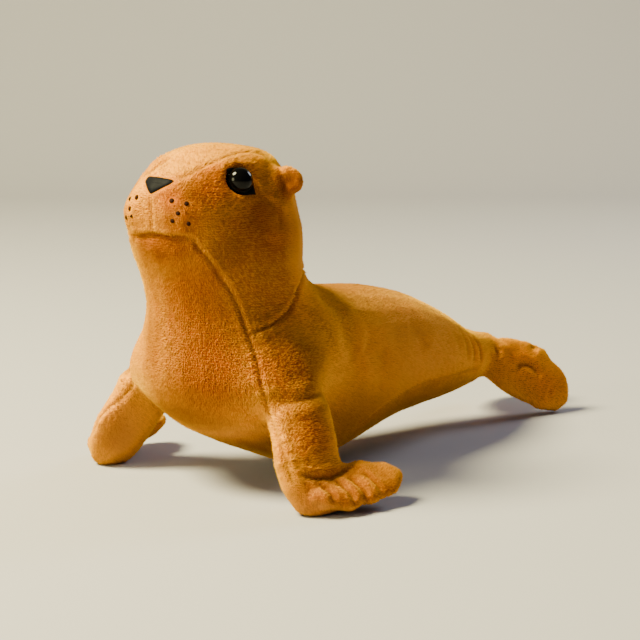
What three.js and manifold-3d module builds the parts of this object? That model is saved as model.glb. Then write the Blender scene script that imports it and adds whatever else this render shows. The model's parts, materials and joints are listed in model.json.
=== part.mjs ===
// A stuffed plush sea lion, head raised, propped on its fore flippers. Millimetres, +Z up.
// The nose points along -X and the hind flippers along +X. Left and right are the animal's own.
import * as THREE from 'three';
import { LoftGeometry } from 'three/addons/geometries/LoftGeometry.js';
import { mergeVertices } from 'three/addons/utils/BufferGeometryUtils.js';
import Module from 'manifold-3d';

const wasm = await Module();
wasm.setup();

// ---------------------------------------------------------------- driving dimensions
const GAP = 0.3; // between pieces that touch
const EYE = { diameter: 12.4, centre: [33.8, 31.6, 176.8] }; // paired places are given for +Y
const FACE_TURN = -2.5; // how far the muzzle's middle is toward -Y, as the head turns a little
const EYE_PATCH = {
  length: 23.5,
  height: 12,
  thickness: 0.6,
  inner: [26.6, 27.7, 183.6],
  outer: [41.2, 38.6, 168.7],
  faces: [-0.3, 0.85, 0.43],
};
const NOSE = {
  width: 20.8,
  height: 11.4,
  corner: 1.6,
  thickness: 1.4,
  top: [3, -1.5, 178],
  faces: [-0.75, 0, 0.66],
};
const WHISKER_SPOTS = [[13.5, 168], [21.5, 166.5], [18.8, 161.3], [16, 156.5], [24.1, 155]]; // [y, z]
const WHISKER_SPOT = { diameter: 2.2, thickness: 0.6 };
const EAR = {
  centre: [64, 36.5, 174.8],
  reach: 12,
  height: 19.5,
  thickness: 9,
  hollow: 4.5,
  turn: -0.35,
  lean: -0.25,
};
const SPAN = 1000; // longer than the toy, for the blocks that cut it
const PLUSH = 0xc9822b;
const BLACK = 0x14110f;
const ACROSS = new THREE.Vector3(0, -1, 0);

// The body from crown to tail. Each station is a cross-section between a dorsal and a ventral
// point [x, z], with its half width, how far up from the ventral point it is widest, and how
// square it is, where 2 is an ellipse.
const STATIONS = {
  crown: { dorsal: [50, 194.8], ventral: [41, 194.8], half: 4, widest: 0.5, square: 2 },
  crownRim: { dorsal: [66, 193], ventral: [28, 192.5], half: 18.5, widest: 0.5, square: 2.1 },
  forehead: { dorsal: [77, 188.5], ventral: [16, 187.4], half: 29, widest: 0.55, square: 2.2 },
  brow: { dorsal: [83, 180], ventral: [1, 178], half: 35, widest: 0.6, square: 2.2 },
  nose: { dorsal: [87, 169], ventral: [-4, 168], half: 39.5, widest: 0.63, square: 2.4 },
  lip: { dorsal: [88.5, 157], ventral: [-5, 157], half: 42, widest: 0.62, square: 2.5 },
  mouth: { dorsal: [89.5, 147], ventral: [-3, 147], half: 45, widest: 0.6, square: 2.45 },
  chin: { dorsal: [90.5, 137], ventral: [-0.5, 136], half: 46, widest: 0.57, square: 2.35 },
  throat: { dorsal: [94, 127], ventral: [4, 122], half: 45, widest: 0.53, square: 2.2 },
  nape: { dorsal: [102, 117.5], ventral: [7, 105], half: 44, widest: 0.5, square: 2.1 },
  collar: { dorsal: [114, 110.5], ventral: [6, 84], half: 46.5, widest: 0.47, square: 2.1 },
  chest: { dorsal: [126, 107.8], ventral: [5, 64], half: 50.5, widest: 0.45, square: 2.1 },
  breast: { dorsal: [134, 106.6], ventral: [14, 45], half: 53, widest: 0.45, square: 2.1 },
  keel: { dorsal: [141, 106.2], ventral: [38, 28], half: 52, widest: 0.47, square: 2.1 },
  bellyFront: { dorsal: [149, 105.8], ventral: [71, 13.5], half: 50, widest: 0.48, square: 2.1 },
  belly: { dorsal: [160, 104.6], ventral: [105, 3], half: 47, widest: 0.5, square: 2.1 },
  flank: { dorsal: [174, 102], ventral: [144, 10.5], half: 44, widest: 0.5, square: 2.1 },
  loin: { dorsal: [193, 97.5], ventral: [178, 17.5], half: 40, widest: 0.5, square: 2.1 },
  hip: { dorsal: [215, 89], ventral: [208, 20], half: 35.5, widest: 0.5, square: 2.05 },
  rump: { dorsal: [238, 79], ventral: [234, 21.5], half: 29, widest: 0.5, square: 2 },
  tailRoot: { dorsal: [260, 67], ventral: [257, 23.5], half: 21, widest: 0.5, square: 2 },
  tail: { dorsal: [279, 60], ventral: [277, 27], half: 15.5, widest: 0.5, square: 2 },
  tailEnd: { dorsal: [297, 56], ventral: [296, 32], half: 11, widest: 0.5, square: 2 },
};
const RINGS_PER_STATION = 3;
const POINTS_AROUND = 26;

// Swells and dimples on the body, mirrored to both sides: where, how far they reach along
// each axis, and how high they stand (dimples are negative).
const SWELLS = [
  { at: [3, 17, 158], reach: [14, 12, 11], height: 4 }, // whisker pad
  { at: [1, 0, 173], reach: [12, 11, 7], height: 2 }, // nose bridge
  { at: [-3, 0, 148.5], reach: [15, 20, 4], height: -1.6 }, // mouth
  { at: [2, 0, 138], reach: [16, 18, 8], height: 2 }, // chin
  { at: [34, 33, 177], reach: [10, 9, 7], height: -2 }, // eye socket
  { at: [30, 29, 185], reach: [10, 9, 5], height: 4.5 }, // brow
  { at: [44, 41, 150], reach: [20, 12, 16], height: 1.5 }, // cheek
  { at: [48, 52, 65], reach: [27, 24, 23], height: 18 }, // shoulder
];

// The fore flipper's arm from shoulder to heel, and its paddle from heel to toe tip. Widths
// are front to back on the arm and side to side on the paddle.
const ARM = [
  { centre: [52, 35, 76], width: 20, thickness: 14 },
  { centre: [51, 44, 67], width: 32, thickness: 26 },
  { centre: [49.5, 56.5, 56], width: 38, thickness: 33 },
  { centre: [46.5, 66.5, 40], width: 40, thickness: 30 },
  { centre: [40.5, 76.5, 22], width: 44, thickness: 26 },
  { centre: [41, 82.5, 10], width: 38, thickness: 24 },
  { centre: [45, 86, 2.5], width: 26, thickness: 18 },
  { centre: [46.5, 86, -0.5], width: 15, thickness: 10 },
];
const PADDLE = [
  { centre: [26, 87, 11], width: 8, thickness: 8 },
  { centre: [32.5, 88.5, 12], width: 22, thickness: 14 },
  { centre: [45, 88.5, 12], width: 38, thickness: 17 },
  { centre: [59, 90, 13], width: 38, thickness: 16 },
  { centre: [73, 94.5, 13.5], width: 34, thickness: 14 },
  { centre: [84.5, 98, 14.8], width: 22, thickness: 11 },
  { centre: [90.5, 99.5, 15.5], width: 6, thickness: 5 },
];
const TOES = 5;
const TOE_SLANT = 0.04;
const CHANNEL_DEPTH = 0.14; // as a share of the paddle's half width

// The hind flippers' sections from root to toe tip, the path of each, and which way each is
// wide. The left one stands on its lower edge, and the right one lies flatter behind it.
const HIND_SIZES = [
  { width: 26, thickness: 12 },
  { width: 33, thickness: 15 },
  { width: 40, thickness: 15 },
  { width: 43, thickness: 16 },
  { width: 40, thickness: 15 },
  { width: 28, thickness: 10 },
  { width: 8, thickness: 4 },
];
const HIND_LEFT = {
  path: [
    [282, -8, 41],
    [291, -10, 39.5],
    [305, -13.5, 33.5],
    [321, -19.5, 26.5],
    [333.5, -24, 18.4],
    [342.5, -27, 20.5],
    [346, -28, 21.5],
  ],
  wide: [0, 0.28, 0.96],
};
const HIND_RIGHT = {
  path: [
    [282, 9, 41],
    [292, 12, 40],
    [306, 15.5, 36],
    [322, 18.5, 33],
    [336, 21, 31],
    [345, 24, 30],
    [348, 25, 29],
  ],
  wide: [0, -0.75, 0.66],
};

// ---------------------------------------------------------------- solids
function solid(geometry) {
  const plain = new THREE.BufferGeometry();
  plain.setAttribute('position', geometry.getAttribute('position'));
  plain.setIndex(geometry.getIndex());
  const merged = mergeVertices(plain, 1e-4);
  return new wasm.Manifold(
    new wasm.Mesh({
      numProp: 3,
      vertProperties: new Float32Array(merged.attributes.position.array),
      triVerts: new Uint32Array(merged.index.array),
    }),
  );
}

function geometryOf(made) {
  const { vertProperties, triVerts, numProp } = made.getMesh();
  const geometry = new THREE.BufferGeometry();
  geometry.setAttribute('position', new THREE.BufferAttribute(new Float32Array(vertProperties), numProp));
  geometry.setIndex(new THREE.BufferAttribute(new Uint32Array(triVerts), 1));
  geometry.computeVertexNormals();
  return geometry;
}

const vector = ([x, y, z], side = 1) => new THREE.Vector3(x, side * y, z);
const signedPower = (value, power) => Math.sign(value) * Math.abs(value) ** power;

// A block that fills the half space on the far side of a plane.
function halfSpace(point, normal) {
  const block = new THREE.BoxGeometry(SPAN, SPAN, SPAN);
  block.translate(0, 0, SPAN / 2);
  block.applyQuaternion(new THREE.Quaternion().setFromUnitVectors(new THREE.Vector3(0, 0, 1), normal));
  block.translate(point.x, point.y, point.z);
  return solid(block);
}
const aboveFloor = halfSpace(new THREE.Vector3(), new THREE.Vector3(0, 0, 1));

// A solid through elliptical sections, each square to the path that joins their centres.
function limb(stations, widthAxis, side, rings, around, reshape = (point) => point) {
  const path = new THREE.CatmullRomCurve3(stations.map(({ centre }) => vector(centre, side)));
  const sizes = new THREE.CatmullRomCurve3(
    stations.map(({ width, thickness }, i) => new THREE.Vector3(width / 2, thickness / 2, i)),
  );
  const sections = [];
  for (let ring = 0; ring <= rings; ring++) {
    const t = ring / rings;
    const centre = path.getPoint(t);
    const forward = path.getTangent(t);
    const axis = vector(widthAxis, side);
    const wide = axis.clone().addScaledVector(forward, -axis.dot(forward)).normalize();
    const face = forward.clone().cross(wide);
    const { x: width, y: thickness } = sizes.getPoint(t);
    const section = [];
    for (let i = 0; i < around; i++) {
      const angle = (i / around) * 2 * Math.PI;
      const point = centre.clone();
      point.addScaledVector(wide, Math.cos(angle) * width);
      point.addScaledVector(face, Math.sin(angle) * thickness);
      section.push(reshape(point, centre, t, angle));
    }
    sections.push(section);
  }
  return solid(new LoftGeometry(sections, { capStart: true, capEnd: true }));
}

// ---------------------------------------------------------------- body
const rows = Object.values(STATIONS);
const midline = ([x, z]) => new THREE.Vector3(x, 0, z);
const dorsalLine = new THREE.CatmullRomCurve3(rows.map(({ dorsal }) => midline(dorsal)));
const ventralLine = new THREE.CatmullRomCurve3(rows.map(({ ventral }) => midline(ventral)));
const fullness = new THREE.CatmullRomCurve3(
  rows.map(({ half, widest, square }) => new THREE.Vector3(half, widest, square)),
);

function swellAt(point) {
  let height = 0;
  for (const swell of SWELLS) {
    const away = new THREE.Vector3(point.x, Math.abs(point.y), point.z).sub(vector(swell.at));
    height += swell.height * Math.exp(-away.divide(vector(swell.reach)).lengthSq());
  }
  return height;
}

function bodySection(t, grow) {
  const low = ventralLine.getPoint(t);
  const high = dorsalLine.getPoint(t);
  const { x: half, y: widest, z: square } = fullness.getPoint(t);
  const middle = low.clone().lerp(high, widest);
  const up = high.clone().sub(low).normalize();
  const section = [];
  for (let i = 0; i < POINTS_AROUND; i++) {
    const angle = (i / POINTS_AROUND) * 2 * Math.PI;
    const along = signedPower(Math.cos(angle), 2 / square);
    const across = signedPower(Math.sin(angle), 2 / square);
    const reach = (along > 0 ? high : low).distanceTo(middle);
    const spoke = up.clone().multiplyScalar(along * reach).setY(-across * half);
    const point = middle.clone().add(spoke);
    section.push(point.addScaledVector(spoke.normalize(), swellAt(point) + grow));
  }
  return section;
}

function body(grow = 0) {
  const sections = [];
  const rings = (rows.length - 1) * RINGS_PER_STATION;
  for (let ring = 0; ring <= rings; ring++) sections.push(bodySection(ring / rings, grow));
  return solid(new LoftGeometry(sections, { capStart: true, capEnd: true }));
}

// The half space on one side of a station's section, half a gap clear of it. The side is 1
// toward the tail and -1 toward the crown.
function beyond({ dorsal, ventral }, side) {
  const line = midline(dorsal).sub(midline(ventral)).normalize();
  const normal = new THREE.Vector3(line.z, 0, -line.x).multiplyScalar(side);
  return halfSpace(midline(ventral).addScaledVector(normal, GAP / 2), normal);
}

const wholeBody = body().intersect(aboveFloor);
const clearOfBody = body(GAP);
const between = (from, to) => wholeBody.intersect(beyond(from, 1)).intersect(beyond(to, -1));

// ---------------------------------------------------------------- flippers
const FRONT_TO_BACK = [1, 0, 0];
const SIDE_TO_SIDE = [0, 1, -0.42];

// Stitched channels that fan over a flipper between its toes, drawn in toward its middle.
function toeChannels(point, centre, t, angle) {
  const ridge = Math.cos(2 * Math.PI * TOES * (t + TOE_SLANT * Math.cos(angle)));
  return point.lerp(centre, (CHANNEL_DEPTH * (1 - ridge) * Math.sin(Math.PI * t) ** 0.5) / 2);
}

function foreFlipper(side) {
  const arm = limb(ARM, FRONT_TO_BACK, side, 11, 14);
  const paddle = limb(PADDLE, SIDE_TO_SIDE, side, 24, 12, toeChannels);
  return arm.add(paddle).intersect(aboveFloor).subtract(clearOfBody);
}

function hindFlipper({ path, wide }) {
  const stations = HIND_SIZES.map((size, i) => ({ ...size, centre: path[i] }));
  return limb(stations, wide, 1, 13, 14).intersect(aboveFloor).subtract(clearOfBody);
}

// ---------------------------------------------------------------- face
function ball(centre, diameter, squash = [1, 1, 1], segments = 14) {
  const sphere = new THREE.SphereGeometry(diameter / 2, segments, segments / 2 + 1);
  sphere.scale(...squash);
  sphere.translate(...centre);
  return solid(sphere);
}

const eyeball = (side, gap = 0) => ball(vector(EYE.centre, side), EYE.diameter + 2 * gap);

// The frame of a patch: its middle, the way it faces and the way its outline's x axis runs.
function facing(middle, faces, along) {
  const out = faces.clone().normalize();
  const right = along.clone().addScaledVector(out, -along.dot(out)).normalize();
  return new THREE.Matrix4().makeBasis(right, out.clone().cross(right), out).setPosition(middle);
}

// A flat outline pushed through the body's surface leaves a patch that follows it.
function patch(outline, frame, thickness, curveSegments) {
  const prism = new THREE.ExtrudeGeometry(outline, { depth: 30, bevelEnabled: false, curveSegments });
  prism.translate(0, 0, -12);
  prism.applyMatrix4(frame);
  return solid(prism).intersect(body(GAP + thickness)).subtract(clearOfBody);
}

function eyePatch(side) {
  const inner = vector(EYE_PATCH.inner, side);
  const outer = vector(EYE_PATCH.outer, side);
  const reach = EYE_PATCH.length / 2;
  const almond = new THREE.Shape();
  almond.moveTo(-reach, 0);
  almond.quadraticCurveTo(0, -EYE_PATCH.height, reach, 0);
  almond.quadraticCurveTo(0, EYE_PATCH.height, -reach, 0);
  const middle = inner.clone().lerp(outer, 0.5);
  const frame = facing(middle, vector(EYE_PATCH.faces, side), outer.clone().sub(inner));
  return patch(almond, frame, EYE_PATCH.thickness, 7).subtract(eyeball(side, GAP));
}

// A triangle with its flat side up and rounded corners.
function nose() {
  const { width, height, corner } = NOSE;
  const triangle = new THREE.Shape();
  triangle.moveTo(corner - width / 2, 0);
  triangle.lineTo(width / 2 - corner, 0);
  triangle.quadraticCurveTo(width / 2, 0, width / 2 - corner, -2 * corner);
  triangle.lineTo(corner, corner - height);
  triangle.quadraticCurveTo(0, -height, -corner, corner - height);
  triangle.lineTo(corner - width / 2, -2 * corner);
  triangle.quadraticCurveTo(-width / 2, 0, corner - width / 2, 0);
  return patch(triangle, facing(vector(NOSE.top), vector(NOSE.faces), ACROSS), NOSE.thickness, 4);
}

function whiskerSpot([y, z], side) {
  const disc = new THREE.Shape();
  disc.absarc(0, 0, WHISKER_SPOT.diameter / 2, 0, 2 * Math.PI);
  const middle = new THREE.Vector3(0, side * y + FACE_TURN, z);
  const frame = facing(middle, new THREE.Vector3(-1, 0, 0), ACROSS);
  return patch(disc, frame, WHISKER_SPOT.thickness, 4);
}

function ear(side) {
  const { centre, reach, height, thickness, hollow } = EAR;
  const flap = ball([0, 0, 0], 1, [thickness, 2 * reach, height], 12);
  const cup = ball([-thickness / 2, (side * reach) / 2, 0], 1, [hollow, reach, height * 0.6], 10);
  const shaped = geometryOf(flap.subtract(cup));
  shaped.rotateZ(side * EAR.turn);
  shaped.rotateY(EAR.lean);
  shaped.translate(...vector(centre, side));
  return solid(shaped).subtract(clearOfBody);
}

// ---------------------------------------------------------------- the toy
const toy = new THREE.Group();
function add(name, made, colour = PLUSH, roughness = 0.9) {
  const material = new THREE.MeshStandardMaterial({ color: colour, roughness });
  const mesh = new THREE.Mesh(geometryOf(made), material);
  mesh.name = name;
  toy.add(mesh);
}

const { throat, collar, bellyFront, rump } = STATIONS;
const sockets = eyeball(1, GAP).add(eyeball(-1, GAP));
add('head', wholeBody.intersect(beyond(throat, -1)).subtract(sockets));
add('neck', between(throat, collar));
add('chest', between(collar, bellyFront));
add('trunk', between(bellyFront, rump));
add('tail', wholeBody.intersect(beyond(rump, 1)));
add('nose', nose(), BLACK, 0.6);
add('hind_flipper_left', hindFlipper(HIND_LEFT));
add('hind_flipper_right', hindFlipper(HIND_RIGHT));
for (const [name, side] of [['left', -1], ['right', 1]]) {
  add(`fore_flipper_${name}`, foreFlipper(side));
  add(`ear_${name}`, ear(side));
  add(`eye_${name}`, eyeball(side), BLACK, 0.08);
  add(`eye_patch_${name}`, eyePatch(side), BLACK, 0.8);
  WHISKER_SPOTS.forEach((spot, i) => {
    add(`whisker_spot_${name}_${i + 1}`, whiskerSpot(spot, side), BLACK, 0.6);
  });
}

// The origin is on the floor under the middle of the toy's length.
const extent = new THREE.Box3().setFromObject(toy);
toy.position.x = -(extent.min.x + extent.max.x) / 2;
const group = new THREE.Group();
group.add(toy);

export default group;
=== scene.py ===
"""A plush sea lion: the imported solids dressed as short-pile plush with sewn seams and a stitched face.

Sizes are in millimetres where a value is named for its size, and in metres once it becomes a mesh.
+Z is up, the nose points along -X, and the toy's left side is -Y.
"""

import json
import math
from collections import namedtuple

import bmesh
import bpy
import numpy as np
from bpy.props import FloatProperty, FloatVectorProperty, IntProperty, PointerProperty
from mathutils import Matrix, Vector, noise
from mathutils.bvhtree import BVHTree
from mathutils.kdtree import KDTree

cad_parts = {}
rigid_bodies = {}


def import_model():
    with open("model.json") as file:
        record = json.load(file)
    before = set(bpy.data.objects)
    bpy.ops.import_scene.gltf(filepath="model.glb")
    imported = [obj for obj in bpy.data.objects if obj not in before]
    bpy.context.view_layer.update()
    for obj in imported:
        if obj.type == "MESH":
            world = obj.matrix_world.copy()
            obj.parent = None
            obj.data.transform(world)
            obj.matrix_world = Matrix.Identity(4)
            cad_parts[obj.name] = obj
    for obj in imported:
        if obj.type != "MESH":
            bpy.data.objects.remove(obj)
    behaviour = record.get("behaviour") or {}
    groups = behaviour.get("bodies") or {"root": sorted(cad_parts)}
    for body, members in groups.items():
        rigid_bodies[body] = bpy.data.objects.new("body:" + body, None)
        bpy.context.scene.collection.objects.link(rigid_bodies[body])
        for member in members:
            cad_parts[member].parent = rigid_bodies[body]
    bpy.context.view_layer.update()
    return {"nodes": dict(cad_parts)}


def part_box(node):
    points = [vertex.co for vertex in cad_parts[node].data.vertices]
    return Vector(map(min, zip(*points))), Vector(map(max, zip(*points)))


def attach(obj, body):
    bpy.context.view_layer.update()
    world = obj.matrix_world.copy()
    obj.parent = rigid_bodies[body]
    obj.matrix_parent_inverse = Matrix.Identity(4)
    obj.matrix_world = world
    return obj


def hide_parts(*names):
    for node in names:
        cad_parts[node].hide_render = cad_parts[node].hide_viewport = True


bl_info = {
    "name": "Plush sea lion",
    "version": (1, 0, 0),
    "blender": (4, 5, 0),
    "location": "3D View > Sidebar > Plush",
    "description": "Sews a short-pile plush sea lion over its solids",
    "category": "Object",
}

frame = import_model()

MM = 0.001
SEED = 11
BODY = "root"
BODY_NODES = ("head", "neck", "chest", "trunk", "tail")
LIMB_NODES = (
    "ear_left",
    "ear_right",
    "fore_flipper_left",
    "fore_flipper_right",
    "hind_flipper_left",
    "hind_flipper_right",
)
FLESH_NODES = BODY_NODES + LIMB_NODES

# Places are given from a point on the floor just behind the muzzle's front, in millimetres.
MUZZLE_DEPTH = 7.33
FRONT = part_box("head")[0][0] + MUZZLE_DEPTH * MM


def place(point, side=1):
    """A place in metres. Paired places are given for the left, so the right passes side -1."""
    x, y, z = point
    return np.array([FRONT + x * MM, side * y * MM, z * MM])


# ---------------------------------------------------------------- seams, creases and nap
# Each seam: its places, how deep and how wide its groove is, how high its lips roll, and how
# much darker the pile is painted in it, as shade down in its groove and partly the seam's own dark line.
SEAMS = {
    "gusset": {
        "at": [(3, -11.6, 178.2), (8.2, -16.3, 180.3), (15.5, -18.7, 183.8), (23.7, -21.9, 187.2),
               (36, -22.5, 190.4), (45.2, -22, 190.8), (53, -22.5, 190)],
        "depth": 0.8, "width": 1.2, "lip": 0.25, "dark": 0.5, "pucker": 0.2,
    },
    "throat": {
        "at": [(1.4, -24.6, 148.6), (6, -28.1, 141), (10.4, -31.2, 134.3), (17.2, -33.3, 124.1),
               (24.5, -35.7, 112.6), (29.8, -39.4, 93.1), (32.8, -44.7, 73.9), (31.4, -51, 62),
               (31.2, -55.4, 53.5), (28.8, -61.4, 45.9), (26.4, -67.5, 39.5), (23.1, -73.7, 33.4),
               (21.6, -78.1, 27), (21.6, -82, 18)],
        "depth": 1.1, "width": 1.3, "lip": 0.35, "dark": 0.6, "pucker": 0.25,
    },
    "collar": {
        "at": [(29.8, -39.4, 93.1), (35.6, -42, 94.9), (46.4, -44.6, 98.8), (55.7, -44.7, 103.3),
               (63.2, -43.7, 109), (70.3, -41.6, 117), (84, -32, 124), (96, -14, 125), (99, 0, 125)],
        "depth": 1.2, "width": 1.4, "lip": 0.45, "dark": 0.7, "pucker": 0.35,
    },
    "flank": {
        "at": [(97, -40, 27.5), (121.3, -39.8, 26.6), (140.7, -41.5, 35.2), (165.5, -39.8, 40.9),
               (195, -35.7, 42.7), (238.2, -26.5, 41), (262, -18, 39)],
        "depth": 0.8, "width": 1.3, "lip": 0.1, "dark": 0.45, "pucker": 0.12,
    },
    "philtrum": {
        "at": [(-4.8, -0.9, 170), (-5.7, -2.4, 164), (-5.7, -3.2, 158.9), (-2.4, -2.2, 149.3)],
        "depth": 0.9, "width": 1.3, "lip": 0.3, "dark": 0.3, "single": True,
    },
}
# Creases, toes and the hind flippers' creases take the same numbers; their dark is painted shade in the
# fold.
CREASES = {
    "mouth": {
        "at": [(-0.2, 18.4, 146.9), (-0.7, 16, 146.6), (-2, 10.1, 147.4), (-2.4, 3.9, 148.5),
               (-2.4, -2.6, 149.3), (-2.4, -9, 148.7), (-1.1, -18.6, 148.7), (0.8, -23.7, 148.9),
               (2, -25.4, 149.6)],
        "depth": 1.7, "width": 1.6, "lip": 0.35, "dark": 0.8, "overhang": 1.8, "single": True,
    },
    "mouth_corner": {
        "at": [(-0.8, 16.5, 147.8), (-0.2, 17.3, 145.2), (0.8, 18.5, 141.5)],
        "depth": 1.2, "width": 1.5, "lip": 0.3, "dark": 0.7, "single": True,
    },
    "dart": {
        "at": [(43, -37.5, 169), (48.5, -39.3, 165), (52, -40.5, 160.5), (52, -42.3, 153), (49, -44, 147)],
        "depth": 0.6, "width": 1.8, "lip": 0, "dark": 0.25,
    },
    "brow_pucker": {
        "at": [(50, -22, 190.6), (55.5, -23.4, 189.6), (59, -25.5, 187.2)],
        "depth": 1.0, "width": 2.4, "lip": 0.5, "dark": 0.45,
    },
    "far_brow": {
        "at": [(5.5, 12.5, 179.2), (8, 9.5, 181.6), (13, 8.2, 184.8), (19.6, 7.6, 187.5)],
        "depth": 1.2, "width": 2.2, "lip": 0.8, "dark": 0.5, "single": True,
    },
    "eye_fold": {
        "at": [(42.5, -36, 171.5), (45.3, -37.6, 168.9), (50.5, -38.8, 165.8), (55.2, -39.8, 161),
               (55.4, -41.4, 154.5)],
        "depth": -0.7, "width": 1.8, "lip": 0, "dark": 0,
    },
    "ear_root": {
        "at": [(60, -34, 184), (59.5, -37, 176), (62, -38, 165)],
        "depth": 1.4, "width": 1.7, "lip": 0.4, "dark": 0.75,
    },
    "ear_cup": {
        "at": [(58.5, -41.5, 179), (57.5, -42.5, 174.5), (59, -41.5, 169)],
        "depth": 1.1, "width": 2.6, "lip": 0.4, "dark": 0.3,
    },
    "shoulder": {
        "at": [(93, -32.5, 110.2), (101.5, -40.2, 98.5), (103.2, -48.8, 81.9), (108.2, -49.8, 69.7)],
        "depth": 1.1, "width": 7.0, "lip": 0.7, "dark": 0.12,
    },
    "wrist": {
        "at": [(24, -84, 25), (30, -88.5, 23), (39, -89, 21), (50, -88, 20), (58, -84, 20)],
        "depth": 1.2, "width": 1.9, "lip": 0.6, "dark": 0.6, "overhang": 1.0,
    },
    "arm_top": {
        "at": [(32, -58.5, 57), (36, -65, 58), (43, -69, 59), (52, -68, 59.5), (60, -64, 59)],
        "depth": 1.2, "width": 3.2, "lip": 0.5, "dark": 0.5,
    },
    "flank_dent": {
        "at": [(118, -47.5, 80), (127.4, -46.6, 72.6), (140, -46.5, 62)],
        "depth": 0.9, "width": 8.0, "lip": 0.4, "dark": 0.1,
    },
    "hip_dent": {
        "at": [(168, -38, 82), (177.5, -38.8, 74.1), (184, -38, 62)],
        "depth": 0.7, "width": 7.0, "lip": 0.3, "dark": 0.1,
    },
    "tail_pucker_1": {
        "at": [(222, -27, 72), (227, -30, 64), (226, -31, 55)],
        "depth": 0.4, "width": 3.6, "lip": 0.1, "dark": 0.1,
    },
    "tail_pucker_2": {
        "at": [(236, -19, 73), (240, -24, 66), (241, -26.5, 57), (238, -26.5, 48)],
        "depth": 0.6, "width": 2.8, "lip": 0.15, "dark": 0.25,
    },
    "tail_pucker_3": {
        "at": [(249, -17, 68), (252, -20.5, 62), (253, -22.5, 53), (251, -22, 44)],
        "depth": 0.7, "width": 2.4, "lip": 0.2, "dark": 0.35,
    },
    "tail_pucker_4": {
        "at": [(262, -15, 63), (264, -17.5, 56), (264, -18.5, 48), (263, -17, 41)],
        "depth": 0.8, "width": 2.0, "lip": 0.25, "dark": 0.45,
    },
}
TOES = {
    "at": [
        [(31, -90.5, 19.5), (33.5, -95, 17), (35, -98.5, 13), (35.5, -99.5, 8)],
        [(43, -92, 19), (44.5, -98, 16.5), (45.5, -103.5, 12), (45.5, -104, 6)],
        [(53, -92.5, 19), (54, -99, 15.8), (55, -104, 11.1), (55, -104, 6)],
        [(63.5, -93, 20), (64.5, -100, 17), (65.6, -104.5, 13), (66, -105, 8)],
    ],
    "depth": 2.0, "width": 1.7, "lip": 0.85, "dark": 0.85,
}
HIND_CREASES = {
    "at": [
        [(285.5, -10.6, 50.2), (287.6, -13.2, 45.6), (286.5, -14, 41.5)],
        [(299, -18.8, 33.9), (306.5, -19.8, 35.7), (312.7, -21.8, 33.7), (318.7, -26, 27)],
        [(316.5, -17.5, 43.5), (322.7, -17.5, 44.8), (328, -17.4, 44)],
    ],
    "depth": 1.7, "width": 2.6, "lip": 0.5, "dark": 0.5,
}
LUMPS = [(24, 0.45), (9, 0.16)]  # how far apart the stuffing's lumps are and how high, in millimetres
PUCKER_PITCH = 6.5  # how far apart the gathers along a seam are, in millimetres
FADE = 4.5  # a seam or crease runs out over this length at its ends, in millimetres
LIP_AT, GATHER_AT = 2.2, 3  # how far from a seam's middle its lips and gathers are, in its own widths
SEAM_REACH, GROOVE_SHADE_WIDTH = 6, 0.75  # how far a seam is felt and how wide its painted shade is, in its own widths
WANDER, WANDER_PITCH = 4.0, 15.0  # how far a patch's edge wanders and over what stretch, in millimetres
MARKS = ("nap", "laid", "seam", "ruffle")  # what the skin and the pile on it are marked with
PANEL_EDGE = 1.2  # a panel's nap changes over this width at its seam, in millimetres
THROAT_BACK = 14  # how far behind its seam the throat's panel still counts, in millimetres
CROWN_DOWN = 6  # how far below its seam the crown's panel still counts, in millimetres
# Where the pile is trimmed short: place, reach along each axis and how much shorter it is.
SHORT_PILE = [
    ((8, 0, 162), (22, 34, 24), 0.3),
    ((64, -42, 175), (13, 13, 14), 0.5),
    ((50, -92, 8), (50, 22, 20), 0.25),
    ((325, -10, 28), (40, 40, 30), 0.2),
]
# The pile is stroked about by hand, and shade is painted on it, in patches: where, how far along each axis
# and how strongly, on which sides, on which panel of cloth, and how sharply the patch ends.
BOTH, ONE = (1, -1), (1,)
SOFT, CRISP = 2.4, 7.0
Patch = namedtuple("Patch", "at reach strength sides panel edge", defaults=(BOTH, "any", SOFT))
# Brushed back, the pile shows its warm side. Along the snout's side, below the gusset, the warmer, darker
# colour also paints the shade of that side.
WARM_NAP_AND_SHADE = [
    Patch((20, -27, 176), (28, 14, 11), 1.0, BOTH, "side"),
    Patch((17, 16, 184), (10, 8, 5), 0.5, ONE),
    Patch((2, -18, 160), (10, 11, 14), 0.4),
    Patch((0, -6, 141), (10, 22, 10), 1.0, ONE, "throat"),
    Patch((8, 12, 92), (16, 14, 40), 0.4, ONE, "throat"),
    Patch((9, -20, 112), (16, 22, 34), 0.9, ONE, "throat"),
    Patch((14, -24, 76), (14, 22, 28), 1.0, ONE, "throat"),
    Patch((33, -52, 74), (14, 12, 14), 0.6, BOTH, "side"),
    Patch((-2, -15, 170), (9, 8, 9), 0.9, ONE),
    Patch((43, -77, 40), (12, 13, 13), 0.6, ONE),
    Patch((60, -92, 16), (24, 16, 12), 0.4, ONE),
    Patch((30, 76, 36), (24, 22, 40), -0.5, ONE),
    Patch((27, -60, 56), (8, 12, 24), -0.5),
    Patch((21, -84, 18), (9, 14, 18), -0.4, ONE),
    Patch((44, -42, 154), (20, 12, 16), 0.9, BOTH, "side"),
    Patch((63, -42, 171), (9, 10, 11), 0.7),
    Patch((70, -46, 112), (20, 16, 18), 0.4),
    Patch((120, -45, 70), (10, 12, 20), 0.25),
    Patch((178, -38, 66), (10, 12, 18), 0.4),
    Patch((190, -30, 66), (60, 24, 34), 0.2, BOTH, "side"),
    Patch((236, -26, 56), (16, 16, 22), 0.3),
    Patch((260, -20, 50), (13, 12, 20), 0.8),
    Patch((306, -16, 40), (28, 18, 20), 0.7, ONE),
    Patch((328, -26, 24), (22, 14, 18), 0.7, ONE),
    Patch((312, 19, 35), (30, 14, 14), 0.7, ONE),
]
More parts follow.
